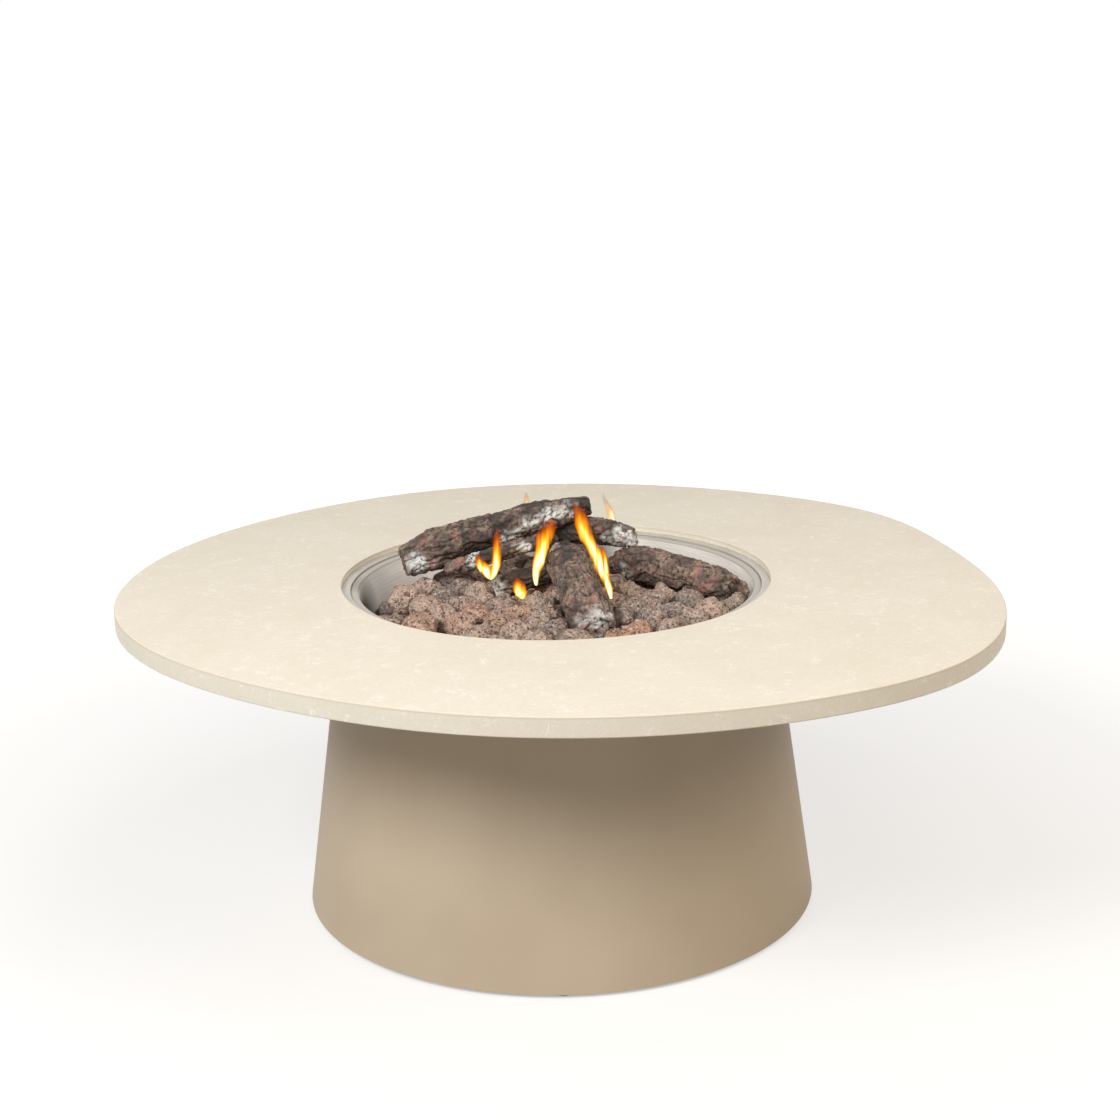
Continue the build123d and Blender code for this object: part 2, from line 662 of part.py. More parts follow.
def control_knob():
    roof = knob_front - KNOB_ROOF
    top_radius = KNOB_RADIUS - KNOB_TAPER
    knob = turned([(0, knob_back), (KNOB_RADIUS, knob_back), (top_radius, knob_front), (0, knob_front)])
    knob = fillet(knob.edges().group_by(Axis.Z)[-1], KNOB_ROUND)
    for place in around(FLUTE_COUNT, KNOB_RADIUS + FLUTE_RADIUS / 2, start=180 / FLUTE_COUNT):
        knob -= place * rod(FLUTE_RADIUS, knob_back + KNOB_SKIRT, knob_front)
    knob -= rod(KNOB_RADIUS - KNOB_SKIRT - FLUTE_RADIUS, knob_back, roof)
    knob += rod(KNOB_BOSS, boss_back, roof)
    knob -= spindle_flat(SPINDLE_RADIUS + PIPE_FIT, boss_back, knob_front - KNOB_ROOF / 2)
    pointer = Pos(0, top_radius / 2, knob_front) * Box(POINTER_WIDTH, POINTER_LENGTH, 2 * POINTER_DEPTH)
    return panel * Pos(knob_x, 0, 0) * (knob - pointer)


def igniter_body():
    body = rod(IGNITER_BARREL, panel_back - IGNITER_LENGTH, 0) + rod(IGNITER_FLANGE, 0, IGNITER_FLANGE_HEIGHT)
    body = fillet(body.edges().group_by(Axis.Z)[-1], SHEET_BEND)
    tail = panel_back - IGNITER_LENGTH
    body += rod(LEAD_RADIUS, tail - TERMINAL_LENGTH, tail)
    bore_end = IGNITER_FLANGE_HEIGHT - BUTTON_ENGAGED - BUTTON_TRAVEL - SHEET
    body -= rod(BUTTON_RADIUS + RUNNING_CLEARANCE, bore_end, IGNITER_FLANGE_HEIGHT)
    return panel * Pos(igniter_x, 0, 0) * body


def igniter_nut():
    low = panel_back - NUT_THICKNESS
    nut = hex_nut(IGNITER_NUT_FLATS, low, panel_back, IGNITER_BARREL + PIPE_FIT)
    return panel * Pos(igniter_x, 0, 0) * nut


def igniter_button():
    low = IGNITER_FLANGE_HEIGHT - BUTTON_ENGAGED
    button = rod(BUTTON_RADIUS, low, IGNITER_FLANGE_HEIGHT + BUTTON_PROUD)
    button = fillet(button.edges().group_by(Axis.Z)[-1], BUTTON_ROUND)
    return panel * Pos(igniter_x, 0, 0) * button


def valve_inlet_end():
    return panel.from_local_coords((knob_x, -INLET_LENGTH, port_depth))


def inlet_levels():
    """Back face of the inlet's hexagon, and the end of its tail, inside the wall."""
    half = INLET_FLATS / sqrt(3)
    seat = -BASE_WALL - half * half / (2 * wall_radius(INLET_HEIGHT)) - 2 * WELD_CLEARANCE
    return seat, seat - INLET_FLANGE, seat - INLET_FLANGE - INLET_TAIL


def inlet_fitting():
    seat, back, tail = inlet_levels()
    shoulder = WELD_CLEARANCE + INLET_NUT + SHEET_BEND
    tip = shoulder + INLET_THREAD_LENGTH
    body = hex_nut(INLET_FLATS, back, seat, 0) + rod(INLET_NECK_RADIUS, seat, shoulder)
    body += rod(INLET_THREAD_RADIUS, shoulder, tip)
    body = chamfer(body.edges().group_by(Axis.Z)[-1], SHEET_BEND / 2)
    body += rod(PORT_STUB_RADIUS, tail, back)
    body -= rod(INLET_BORE, back, tip)
    return inlet * body


def inlet_nut():
    high = WELD_CLEARANCE + INLET_NUT
    return inlet * hex_nut(INLET_FLATS, WELD_CLEARANCE, high, INLET_NECK_RADIUS + PIPE_FIT)


def supply_route():
    """From the valve's outlet to the foot of the injector."""
    start = panel.from_local_coords((knob_x, 0, outlet_end))
    end = Vector(0, 0, venturi_end - INJECTOR_LENGTH - INJECTOR_TAIL)
    return [start, start - panel.z_dir * PIPE_RUN, end - Vector(0, 0, PIPE_RUN), end]


def inlet_route():
    """From the inlet fitting inside the wall up to the valve's inlet."""
    end = valve_inlet_end()
    start = inlet.from_local_coords((0, 0, inlet_levels()[2]))
    return [start, start - inlet.z_dir * PIPE_RUN, end - panel.y_dir * PIPE_RUN, end]


def supply_pipe():
    return pipe(supply_route(), PIPE_RADIUS, PIPE_BEND)


def inlet_pipe():
    return pipe(inlet_route(), PIPE_RADIUS, PIPE_BEND)


def pipe_nuts():
    nut = hex_nut(PIPE_NUT_FLATS, 0, PIPE_NUT_LENGTH, PIPE_RADIUS + PIPE_FIT)
    nuts = []
    for route in (supply_route(), inlet_route()):
        for end, before in ((route[0], route[1]), (route[-1], route[-2])):
            nuts.append(Plane(end, z_dir=before - end) * nut)
    return nuts


def log_rings(name, grow=0.0):
    """Rings of points along a log, of uneven radius, each ring square to the log and the end ones smaller."""
    *ends, start_radius, end_radius, bow = LOGS[name]
    rough = Random(name)
    foot, head = [Vector(x * bed_spread, y * bed_spread, z + crown) for x, y, z in ends]
    run = head - foot
    side = run.cross(Vector(0, 0, 1)).normalized()
    up = side.cross(run).normalized()
    rings = []
    for i in range(LOG_STATIONS):
        share = i / (LOG_STATIONS - 1)
        centre = foot + run * share + up * (bow * 4 * share * (1 - share))
        radius = start_radius + (end_radius - start_radius) * share
        if i in (0, LOG_STATIONS - 1):
            radius *= LOG_END_SHARE
        loop = []
        for k in range(LOG_SIDES):
            turn = 2 * pi * k / LOG_SIDES
            reach = radius * rough.uniform(1 - LOG_ROUGHNESS, 1 + LOG_ROUGHNESS) + grow
            loop.append(centre + side * (reach * cos(turn)) + up * (reach * sin(turn)))
        rings.append(loop)
    return rings


def log_body(name, grow=0.0):
    return loft([make_face(Polyline(*loop, close=True)) for loop in log_rings(name, grow)], ruled=True)


def log_on(name, *carriers):
    """Log with a notch moulded where it lies on each log that carries it."""
    log = log_body(name)
    for carrier in carriers:
        log -= log_body(carrier, SEAT_CLEARANCE)
    return log.solids().sort_by(SortBy.VOLUME)[-1]


def cut_lump(faces, normal, limit):
    """Keep the side of a convex lump where normal . point is at most the limit."""
    kept, rim = [], []
    for loop in faces:
        heights = [sum(n * c for n, c in zip(normal, p)) - limit for p in loop]
        if max(heights) <= 0:
            kept.append(loop)
            continue
        if min(heights) >= 0:
            continue
        shape = []
        for i, (p, high) in enumerate(zip(loop, heights)):
            q, last = loop[i - 1], heights[i - 1]
            if high * last < 0:
                share = last / (last - high)
                crossing = tuple(a + (b - a) * share for a, b in zip(q, p))
                shape.append(crossing)
                rim.append(crossing)
            if high <= 0:
                shape.append(p)
        kept.append(shape)
    if rim:
        kept.append(rim_loop(rim, normal))
    return kept


def rim_loop(points, normal):
    """Put the corners of a cut face in order round its middle, each of them once."""
    middle = Vector(*[sum(c) / len(points) for c in zip(*points)])
    frame = Plane(middle, z_dir=normal)
    corners = {}
    for point in points:
        flat = frame.to_local_coords(Vector(*point))
        corners.setdefault(round(Vector(flat.X, flat.Y, 0).get_signed_angle(Vector(1, 0, 0)), 4), point)
    return [corners[turn] for turn in sorted(corners)]


def lump(site, size, rough):
    """Uneven stone with flat facets spread over it."""
    x, y, z = site
    ends = [(x - 2 * size, x + 2 * size), (y - 2 * size, y + 2 * size), (z - 2 * size, z + 2 * size)]
    corner = [[(ends[0][i], ends[1][j], ends[2][k]) for k in (0, 1)] for i in (0, 1) for j in (0, 1)]
    (a, e), (d, h), (b, f), (c, g) = corner
    faces = [[a, b, c, d], [e, f, g, h], [a, b, f, e], [b, c, g, f], [c, d, h, g], [d, a, e, h]]
    for i in range(ROCK_FACETS):
        level = 1 - (2 * i + 1) / ROCK_FACETS
        turn = FACET_TURN * i + rough.uniform(-FACET_TURN_SPREAD, FACET_TURN_SPREAD)
        flat = sqrt(1 - level * level)
        tilt = level + rough.uniform(-FACET_TILT_SPREAD, FACET_TILT_SPREAD)
        normal = Vector(flat * cos(turn), flat * sin(turn), tilt).normalized()
        reach = size * rough.uniform(FACET_LEAST_REACH, 1) * (1 - (1 - ROCK_FLATNESS) * abs(normal.Z))
        faces = cut_lump(faces, tuple(normal), normal.dot(Vector(*site)) + reach)
    return faces


def rock_sites(rough):
    """Middle and size of each rock: a layer on the tray, and one in its hollows nearer the middle."""
    row = ROCK_PITCH * sqrt(3) / 2
    count = int(HOLE_RADIUS / row) + 1
    layers = (
        (tray_radius - ROCK_SEAT, lower_sites, 0, (0, 0)),
        (UPPER_LAYER_RADIUS * bed_spread, upper_sites, 1, [c * bed_spread for c in UPPER_LAYER_SHIFT]),
    )
    sites = []
    for limit, level, shift, (middle_x, middle_y) in layers:
        for j in range(-count, count + 1):
            for i in range(-count, count + 1):
                x = (i + j % 2 / 2 + shift / 2) * ROCK_PITCH
                y = (j + shift / 3) * row
                if sqrt((x - middle_x) ** 2 + (y - middle_y) ** 2) <= limit:
                    place = [c + rough.uniform(-ROCK_SCATTER, ROCK_SCATTER) for c in (x, y)]
                    size = ROCK_RADIUS * rough.uniform(1 - ROCK_SIZE_SPREAD, 1 + ROCK_SIZE_SPREAD)
                    sites.append((*place, level, size))
    return sites


def log_side(rings, site, size):
    """Plane that parts a rock from a log beside, above or below it: its normal and its limit."""
    ends = [sum(loop, Vector()) / LOG_SIDES for loop in (rings[0], rings[-1])]
    along = (ends[1] - ends[0]).normalized()
    length = (ends[1] - ends[0]).length
    middle = Vector(*site)
    at = (middle - ends[0]).dot(along)
    reach = size + length / (LOG_STATIONS - 1)
    near = [p for loop in rings for p in loop if abs((p - middle).dot(along)) <= reach]
    if not near:
        return None
    outward = ends[0] + along * at - middle
    across = outward.normalized() if outward.length > 1 else Vector(0, 0, 1)
    sides = [across]
    if at < 0:
        sides.append(along)
    if at > length:
        sides.append(-along)
    choices = [(min(side.dot(p) for p in near) - SEAT_CLEARANCE, side) for side in sides]
    limit, side = max(choices, key=lambda choice: choice[0] - choice[1].dot(middle))
    return tuple(side), limit


def lava_rocks():
    rough = Random(ROCK_SEED)
    sites = rock_sites(rough)
    log_shapes = [log_rings(name) for name in LOGS]
    rocks = []
    for x, y, z, size in sites:
        faces = lump((x, y, z), size, rough)
        for u, v, w, other in sites:
            apart = Vector(u - x, v - y, w - z)
            if 0 < apart.length < size + other:
                share = (apart.length ** 2 + size ** 2 - other ** 2) / (2 * apart.length)
                normal = apart.normalized()
                faces = cut_lump(faces, tuple(normal), normal.dot(Vector(x, y, z)) + share - ROCK_GAP / 2)
        faces = cut_lump(faces, (0, 0, -1), -tray_top)
        away = Vector(x, y, 0).normalized() * cos(bowl_lean) - Vector(0, 0, sin(bowl_lean))
        faces = cut_lump(faces, tuple(away), rock_limit)
        for rings in log_shapes:
            parting = log_side(rings, (x, y, z), size)
            if parting and faces:
                faces = cut_lump(faces, *parting)
        if len(faces) < 4:
            continue
        rock = Solid(Shell([Face(Wire.make_polygon(loop)) for loop in faces]))
        if rock.volume > ROCK_LEAST_SHARE * 4 / 3 * pi * size ** 3:
            rocks.append(rock)
    return rocks


PIECES = {
    "table_top": table_top(),
    "slab_pads": slab_pads(),
    "base_shell": base_shell(),
    "base_head_ring": base_ring(HEAD_RING_WIDTH, base_head - RING_THICKNESS, base_head),
    "base_foot_ring": base_foot_ring(),
    "glide_feet": glide_feet(),
    "foot_screws": foot_screws(),
    "trim_ring": trim_ring(),
    "fire_bowl": fire_bowl(),
    "burner_ring": burner_ring(),
    "burner_stands": burner_stands(),
    "burner_locknut": burner_locknut(),
    "venturi_tube": venturi_tube(),
    "gas_injector": gas_injector(),
    "rock_tray": rock_tray(),
    "tray_legs": tray_legs(),
    "pilot_bracket": pilot_bracket(),
    "electrode_insulator": electrode_insulator(),
    "electrode_rod": electrode_rod(),
    "thermocouple": thermocouple(),
    "ignition_lead": ignition_lead(),
    "thermocouple_lead": thermocouple_lead(),
    "heat_shield": heat_shield(),
    "shield_spacers": shield_spacers(),
    "shield_screws": shield_screws(),
    "control_box": control_box(),
    "control_fascia": control_fascia(),
    "fascia_screws": fascia_screws(),
    "gas_valve": gas_valve(),
    "valve_nut": valve_nut(),
    "spindle_bush": spindle_bush(),
    "valve_spindle": valve_spindle(),
    "control_knob": control_knob(),
    "igniter_body": igniter_body(),
    "igniter_nut": igniter_nut(),
    "igniter_button": igniter_button(),
    "inlet_fitting": inlet_fitting(),
    "inlet_nut": inlet_nut(),
    "supply_pipe": supply_pipe(),
    "inlet_pipe": inlet_pipe(),
    "pipe_nuts": pipe_nuts(),
    "log_right": log_body("log_right"),
    "log_small": log_body("log_small"),
    "log_front": log_on("log_front", "log_small"),
    "log_cross": log_on("log_cross", "log_right"),
    "log_under": log_on("log_under", "log_front"),
    "log_top": log_on("log_top", "log_cross", "log_under"),
    "lava_rocks": lava_rocks(),
}

os.makedirs("parts", exist_ok=True)
for name, piece in PIECES.items():
    export_step(Compound(piece) if isinstance(piece, list) else piece, f"parts/{name}.step")
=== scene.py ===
import json
from math import radians

import bmesh
import bpy
from mathutils import Matrix, Vector, noise


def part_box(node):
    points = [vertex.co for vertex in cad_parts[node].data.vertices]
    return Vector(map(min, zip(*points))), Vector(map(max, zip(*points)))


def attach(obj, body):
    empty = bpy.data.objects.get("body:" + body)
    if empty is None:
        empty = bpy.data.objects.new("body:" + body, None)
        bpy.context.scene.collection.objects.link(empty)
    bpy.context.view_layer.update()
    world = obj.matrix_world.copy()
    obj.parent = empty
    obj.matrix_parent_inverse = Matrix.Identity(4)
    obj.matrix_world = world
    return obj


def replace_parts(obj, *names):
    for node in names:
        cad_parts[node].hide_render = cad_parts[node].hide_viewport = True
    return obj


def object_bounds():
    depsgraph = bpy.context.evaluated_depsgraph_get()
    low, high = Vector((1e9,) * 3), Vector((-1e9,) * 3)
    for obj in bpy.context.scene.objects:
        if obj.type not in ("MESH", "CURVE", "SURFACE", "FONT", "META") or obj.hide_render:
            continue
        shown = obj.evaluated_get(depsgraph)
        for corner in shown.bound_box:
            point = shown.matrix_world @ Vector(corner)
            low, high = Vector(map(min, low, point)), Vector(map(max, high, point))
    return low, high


# A gas fire pit table, burning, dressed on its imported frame: a stone top on a flared metal base, with a
# drop-in burner bowl full of lava rocks and ceramic logs. Metres, +Z up, the front towards -Y.
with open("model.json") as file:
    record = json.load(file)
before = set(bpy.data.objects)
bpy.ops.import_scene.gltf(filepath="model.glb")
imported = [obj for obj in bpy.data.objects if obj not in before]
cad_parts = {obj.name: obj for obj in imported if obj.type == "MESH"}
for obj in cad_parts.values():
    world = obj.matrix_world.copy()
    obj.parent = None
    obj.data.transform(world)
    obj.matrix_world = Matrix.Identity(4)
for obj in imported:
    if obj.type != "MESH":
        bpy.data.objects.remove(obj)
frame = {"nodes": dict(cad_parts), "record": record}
nodes = frame["nodes"]
cad_low, cad_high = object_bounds()
scene = bpy.context.scene


# Glide feet: six nylon discs with a fine moulded grain, under the bottom ring of the base.
# They keep the steel off wet paving, and a zinc-plated screw through each one holds it.
def colour(red, green, blue):
    """Shader colour of a tone that is given as it looks on screen, from 0 to 255."""
    shares = [value / 255 for value in (red, green, blue)]
    return (*[s / 12.92 if s < 0.04045 else ((s + 0.055) / 1.055) ** 2.4 for s in shares], 1.0)


def plug(finish, node, inputs):
    """Set a node's inputs: another node's output is linked, and anything else is a plain value."""
    for name, value in inputs.items():
        if isinstance(value, bpy.types.NodeSocket):
            finish.node_tree.links.new(value, node.inputs[name])
        else:
            node.inputs[name].default_value = value


def add_node(finish, kind, inputs, **settings):
    """New shader node of a kind, with its settings made before its inputs are set."""
    node = finish.node_tree.nodes.new("ShaderNode" + kind)
    for name, value in settings.items():
        setattr(node, name, value)
    plug(finish, node, inputs)
    return node


def new_finish(name):
    """Material with one plain shader, ready for its nodes."""
    finish = bpy.data.materials.new(name)
    finish.use_nodes = True
    return finish


def coat(finish, inputs):
    """Set the inputs of the finish's shader."""
    plug(finish, finish.node_tree.nodes["Principled BSDF"], inputs)


def place_on(finish):
    """Where a point lies in the table's own frame."""
    return add_node(finish, "TexCoord", {}).outputs["Object"]


def grain(finish, size, stretch=(1, 1, 1), detail=4.0):
    """Noise with lumps of about this size, drawn out by one over the stretch."""
    scaled = add_node(finish, "Mapping", {"Vector": place_on(finish), "Scale": stretch})
    inputs = {"Vector": scaled.outputs["Vector"], "Scale": 1 / size, "Detail": detail, "Roughness": 0.6}
    return add_node(finish, "TexNoise", inputs).outputs["Fac"]


def shade(finish, share, low, high, start=0.35, end=0.65):
    """Colour that runs from low to high while the share runs from start to end."""
    ramp = add_node(finish, "ValToRGB", {"Fac": share})
    for stop, position, tone in zip(ramp.color_ramp.elements, (start, end), (low, high)):
        stop.position, stop.color = position, tone
    return ramp.outputs["Color"]


def level(finish, share, low, high, start=0.35, end=0.65):
    """Number that runs from low to high while the share runs from start to end."""
    inputs = {"Value": share, "From Min": start, "From Max": end, "To Min": low, "To Max": high}
    return add_node(finish, "MapRange", inputs).outputs["Result"]


def relief(finish, height, depth, under=None):
    """Surface raised by up to this depth, on top of another relief if there is one."""
    inputs = {"Height": height, "Distance": depth}
    if under:
        inputs["Normal"] = under
    return add_node(finish, "Bump", inputs).outputs["Normal"]


def grained_finish(name, dark, light, size, rough, depth, metallic=0.0, stretch=(1, 1, 1)):
    """Finish whose colour, roughness and surface all follow one fine grain."""
    finish = new_finish(name)
    speck = grain(finish, size, stretch)
    coat(finish, {
        "Base Color": shade(finish, speck, dark, light),
        "Roughness": level(finish, speck, *rough),
        "Normal": relief(finish, speck, depth),
        "Metallic": metallic,
    })
    return finish


def dress(finish, *names):
    """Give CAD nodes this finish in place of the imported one."""
    for name in names:
        for slot in nodes[name].material_slots:
            slot.material = finish


black_nylon = grained_finish(
    "black_nylon", colour(20, 20, 21), colour(36, 36, 37),
    size=0.0012, rough=(0.5, 0.62), depth=0.00006,
)
zinc_plate = grained_finish(
    "zinc_plate", colour(150, 152, 156), colour(186, 189, 194),
    size=0.005, rough=(0.3, 0.45), depth=0.00002, metallic=1.0,
)
dress(black_nylon, "glide_feet")
dress(zinc_plate, "foot_screws")


# Base: a flared drum rolled from steel sheet, with flat rings welded inside its head and foot.
# It is powder coated in matt taupe, which leaves a faint orange-peel surface.
taupe_coat = new_finish("taupe_powder_coat")
peel = grain(taupe_coat, 0.0022, detail=2.0)
drift = grain(taupe_coat, 0.2, detail=2.0)
coat(taupe_coat, {
    "Base Color": shade(taupe_coat, drift, colour(197, 180, 157), colour(203, 187, 164)),
    "Roughness": level(taupe_coat, peel, 0.52, 0.62),
    "Normal": relief(taupe_coat, peel, 0.00004),
})
dress(taupe_coat, "base_shell", "base_head_ring", "base_foot_ring", "control_box")


# Controls: a stainless fascia in the recess at the rear, brushed from side to side, with corner screws.
# The knob opens the brass gas valve behind it, and the button beside it fires the igniter.
# White paint fills the pointer's groove in the knob's face.
brushed_steel = grained_finish(
    "brushed_steel", colour(178, 177, 175), colour(203, 202, 200),
    size=0.0007, rough=(0.24, 0.38), depth=0.00001, metallic=1.0, stretch=(0.03, 1, 1),
)
brass = grained_finish(
    "brass", colour(178, 138, 74), colour(205, 168, 98),
    size=0.004, rough=(0.25, 0.4), depth=0.00002, metallic=1.0,
)
dress(brushed_steel, "control_fascia")
dress(zinc_plate, "fascia_screws", "valve_nut", "igniter_nut", "valve_spindle")
dress(black_nylon, "control_knob", "spindle_bush", "igniter_body", "igniter_button")
dress(brass, "gas_valve")


def make_piece(name, shape, finish, body):
    """Object at the origin from a bmesh, with its finish, riding on a body."""
    mesh = bpy.data.meshes.new(name)
    shape.to_mesh(mesh)
    shape.free()
    mesh.materials.append(finish)
    mesh.shade_smooth()
    made = bpy.data.objects.new(name, mesh)
    scene.collection.objects.link(made)
    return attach(made, body)


POINTER_SIZE = (0.0017, 0.0136, 0.0006)
POINTER_CORNER = 0.0008
POINTER_CORNER_FACETS = 4
POINTER_OUT = 0.01025
POINTER_SINK = 0.0005
turn_joint = next(j for j in frame["record"]["behaviour"]["joints"] if j["name"] == "knob_turn")
knob_middle, knob_axis = Vector(turn_joint["pos_m"]), Vector(turn_joint["axis"]).normalized()
knob_side = Vector((1, 0, 0))
knob_up = knob_side.cross(knob_axis)
knob_front = max((v.co - knob_middle).dot(knob_axis) for v in nodes["control_knob"].data.vertices)
pointer = bmesh.new()
bmesh.ops.create_cube(pointer, size=1)
bmesh.ops.scale(pointer, verts=pointer.verts, vec=Vector(POINTER_SIZE))
corners = [e for e in pointer.edges if abs(e.verts[0].co.z - e.verts[1].co.z) > POINTER_SIZE[2] / 2]
bmesh.ops.bevel(
    pointer, geom=corners, offset=POINTER_CORNER, segments=POINTER_CORNER_FACETS,
    profile=0.5, affect="EDGES", material=-1,
)
turned = Matrix((knob_side, knob_up, knob_axis)).transposed()
bmesh.ops.rotate(pointer, verts=pointer.verts, matrix=turned)
at_groove = knob_middle + (knob_front - POINTER_SINK) * knob_axis + POINTER_OUT * knob_up
bmesh.ops.translate(pointer, verts=pointer.verts, vec=at_groove)
white_paint = grained_finish(
    "white_paint", colour(226, 226, 222), colour(238, 238, 235),
    size=0.0008, rough=(0.4, 0.5), depth=0.00002,
)
make_piece("knob_pointer", pointer, white_paint, "knob")


# Gas line: annealed copper pipe between brass compression nuts, from the inlet up to the valve,
# and from the valve to the injector under the burner.
copper = grained_finish(
    "copper", colour(168, 98, 66), colour(198, 126, 90),
    size=0.009, rough=(0.28, 0.46), depth=0.00003, metallic=1.0,
)
dress(copper, "supply_pipe", "inlet_pipe")
dress(brass, "inlet_fitting", "inlet_nut", "pipe_nuts", "gas_injector")


# Heat shield: a galvanised disc under the bowl, which keeps the heat of the fire off the gas line.
# Screws from below hold it to the bowl's floor through hollow spacers. Hot zinc leaves a spangle on it.
def cells(finish, per_metre):
    """Outputs of a pattern of cells, so many to the metre."""
    return add_node(finish, "TexVoronoi", {"Vector": place_on(finish), "Scale": per_metre}).outputs


SPANGLES_PER_METRE = 90.0
galvanised = new_finish("galvanised_sheet")
crystals = cells(galvanised, SPANGLES_PER_METRE)["Color"]
spangle = add_node(galvanised, "RGBToBW", {"Color": crystals}).outputs["Val"]
coat(galvanised, {
    "Base Color": shade(galvanised, spangle, colour(158, 161, 165), colour(190, 193, 197), 0.2, 0.8),
    "Roughness": level(galvanised, spangle, 0.3, 0.5, 0.2, 0.8),
    "Metallic": 1.0,
})
dress(galvanised, "heat_shield", "shield_spacers")
dress(zinc_plate, "shield_screws")


# Fire bowl and trim ring: spun from stainless sheet, so the polishing lines run round the axis.
# The ring drops into the slab's round hole and its ledge carries the bowl by its lip, which is greyer.
# Soot darkens the bowl's wall at the back, and a patch of painted shade darkens its lower left wall.
LINE_SIZE = 0.0012
LINE_DEPTH = 0.00001
LINE_DRIFT = (0.02, 0.02, 1)


def vectors(finish, operation, *values):
    """Outputs of a sum on vectors."""
    return add_node(finish, "VectorMath", dict(enumerate(values)), operation=operation).outputs


def spun_lines(finish):
    """Noise drawn out into rings round the Z axis."""
    place = place_on(finish)
    flat = vectors(finish, "MULTIPLY", place, (1, 1, 0))["Vector"]
    radius = vectors(finish, "LENGTH", flat)["Value"]
    rings = add_node(finish, "CombineXYZ", {"X": radius}).outputs["Vector"]
    drift = vectors(finish, "MULTIPLY", place, LINE_DRIFT)["Vector"]
    drifting = vectors(finish, "ADD", rings, drift)["Vector"]
    inputs = {"Vector": drifting, "Scale": 1 / LINE_SIZE, "Detail": 3.0}
    return add_node(finish, "TexNoise", inputs).outputs["Fac"]


def spun_finish(name, dark, light, rough, metallic):
    """Metal with its polishing lines round the axis, and the colour that they give it."""
    finish = new_finish(name)
    lines = spun_lines(finish)
    tone = shade(finish, lines, dark, light)
    coat(finish, {
        "Base Color": tone,
        "Roughness": level(finish, lines, *rough),
        "Normal": relief(finish, lines, LINE_DEPTH),
        "Metallic": metallic,
    })
    return finish, tone


def over(finish, share, under, top):
    """One colour laid over another by a share."""
    return add_node(finish, "Mix", {0: share, 6: under, 7: top}, data_type="RGBA").outputs[2]


def height_on(finish):
    """How high a point lies above the floor."""
    return add_node(finish, "SeparateXYZ", {"Vector": place_on(finish)}).outputs["Z"]


LIP_BAND = 0.003
# Dark patches on the wall, each a place and a reach: soot at the back, then painted shade on the lower left
# wall.
SOOT_AND_SHADE_PLACES = ((0.02, 0.262, 0.41, 0.09), (-0.25, 0.012, 0.388, 0.07))
DARK_PATCH_HEART = 0.4
DARK_PATCH_SHARE = 0.9
spun_ring, _ = spun_finish(
    "spun_ring", colour(188, 184, 175), colour(208, 204, 195), rough=(0.34, 0.46), metallic=0.5
)
spun_bowl, wall_tone = spun_finish(
    "spun_bowl", colour(236, 233, 227), colour(250, 248, 244), rough=(0.72, 0.82), metallic=0.8
)
bowl_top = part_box("fire_bowl")[1][2]
on_lip = level(
    spun_bowl, height_on(spun_bowl), 0.0, 1.0, bowl_top - LIP_BAND, bowl_top - LIP_BAND / 2
)
wall_tone = over(spun_bowl, on_lip, wall_tone, colour(186, 181, 173))
# Lay each dark patch over the wall: soot at the back, painted shade at the lower left.
for *place, reach in SOOT_AND_SHADE_PLACES:
    from_dark_patch = vectors(spun_bowl, "DISTANCE", place_on(spun_bowl), place)["Value"]
    dark_patch = level(spun_bowl, from_dark_patch, DARK_PATCH_SHARE, 0.0, DARK_PATCH_HEART * reach, reach)
    wall_tone = over(spun_bowl, dark_patch, wall_tone, colour(70, 64, 59))
coat(spun_bowl, {"Base Color": wall_tone})
dress(spun_bowl, "fire_bowl")
dress(spun_ring, "trim_ring")


# Burner: a stainless ring with two rows of ports, browned by heat, on its stands over the bowl's floor.
# Its stub goes down through the floor to the venturi tube. A slotted tray on legs keeps the rocks off it.
heated_steel = grained_finish(
    "heated_steel", colour(120, 98, 78), colour(176, 164, 150),
    size=0.03, rough=(0.3, 0.5), depth=0.00002, metallic=1.0,
)
dress(heated_steel, "burner_ring", "burner_stands", "venturi_tube", "rock_tray", "tray_legs")
dress(zinc_plate, "burner_locknut")


# Pilot: a spark electrode in a glazed porcelain sleeve and a thermocouple, on one bracket.
# Their leads run down through the floor in black sheath.
porcelain = grained_finish(
    "porcelain", colour(226, 222, 213), colour(238, 236, 229),
    size=0.003, rough=(0.12, 0.2), depth=0.00001,
)
lead_sheath = grained_finish(
    "lead_sheath", colour(24, 23, 22), colour(40, 39, 37),
    size=0.0015, rough=(0.55, 0.7), depth=0.00004,
)
dress(heated_steel, "pilot_bracket", "thermocouple", "electrode_rod")
dress(porcelain, "electrode_insulator")
dress(lead_sheath, "ignition_lead", "thermocouple_lead")


# Slab pads: twelve dots of clear-grey silicone between the head ring of the base and the stone.
# They carry the slab evenly, and their grip keeps it from sliding.
silicone = grained_finish(
    "silicone", colour(120, 120, 118), colour(146, 146, 143),
    size=0.002, rough=(0.35, 0.5), depth=0.00003,
)
dress(silicone, "slab_pads")


# Stone top: one slab of honed cream limestone, cut to a pebble outline with a slightly rounded arris.
# Its colour drifts a little, with short white hairlines and flecks, and a band of painted shade darkens its
# arris, to tone down the highlight that the lamps give the rounded edge.
def reckon(finish, operation, *values):
    """Result of a sum on numbers."""
    return add_node(finish, "Math", dict(enumerate(values)), operation=operation).outputs["Value"]


def times(finish, first, second):
    """Product of two numbers."""
    return reckon(finish, "MULTIPLY", first, second)


def hairlines(finish, size, width):
    """Thin lines along the middle contour of a noise."""
    lumps = grain(finish, size, detail=6.0)
    off = reckon(finish, "ABSOLUTE", reckon(finish, "SUBTRACT", lumps, 0.5))
    return level(finish, off, 1.0, 0.0, 0.0, width)


